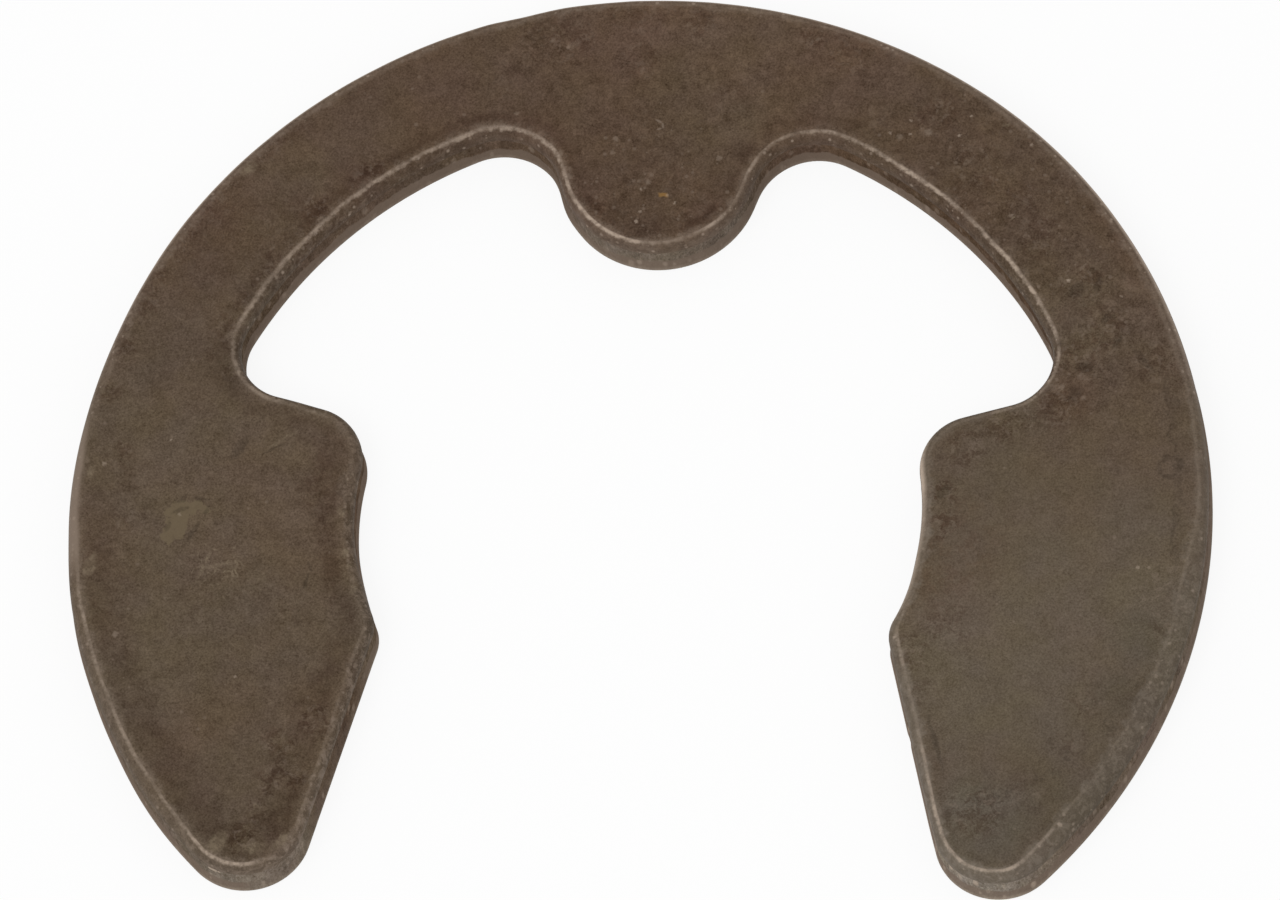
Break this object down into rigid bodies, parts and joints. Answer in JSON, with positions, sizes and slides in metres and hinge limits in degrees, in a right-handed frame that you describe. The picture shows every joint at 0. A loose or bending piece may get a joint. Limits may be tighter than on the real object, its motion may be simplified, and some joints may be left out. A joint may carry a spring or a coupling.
{
  "type": "e-clip",
  "caption": "Flat open retaining clip stamped from spring steel, with a round-ended prong between rounded pockets, curved seats and a flared throat, pushed sideways into a shaft groove.",
  "frame": {"origin": "on the axis of the shaft that the clip holds, the common centre of the two curved seats, at the bottom face", "axes": "+Z along the shaft, from the bottom face to the top face with the rolled edge; +X across the clip, through one arm; +Y from the shaft centre to the prong, so the throat opens towards -Y"},
  "size_m": [0.0238, 0.0203, 0.0011],
  "materials": {
    "phosphated_steel": "dark brown phosphated and oiled spring steel, satin, with polished rolled edges"
  },
  "bodies": {
    "root": {"e_clip": "phosphated_steel"}
  },
  "joints": []
}
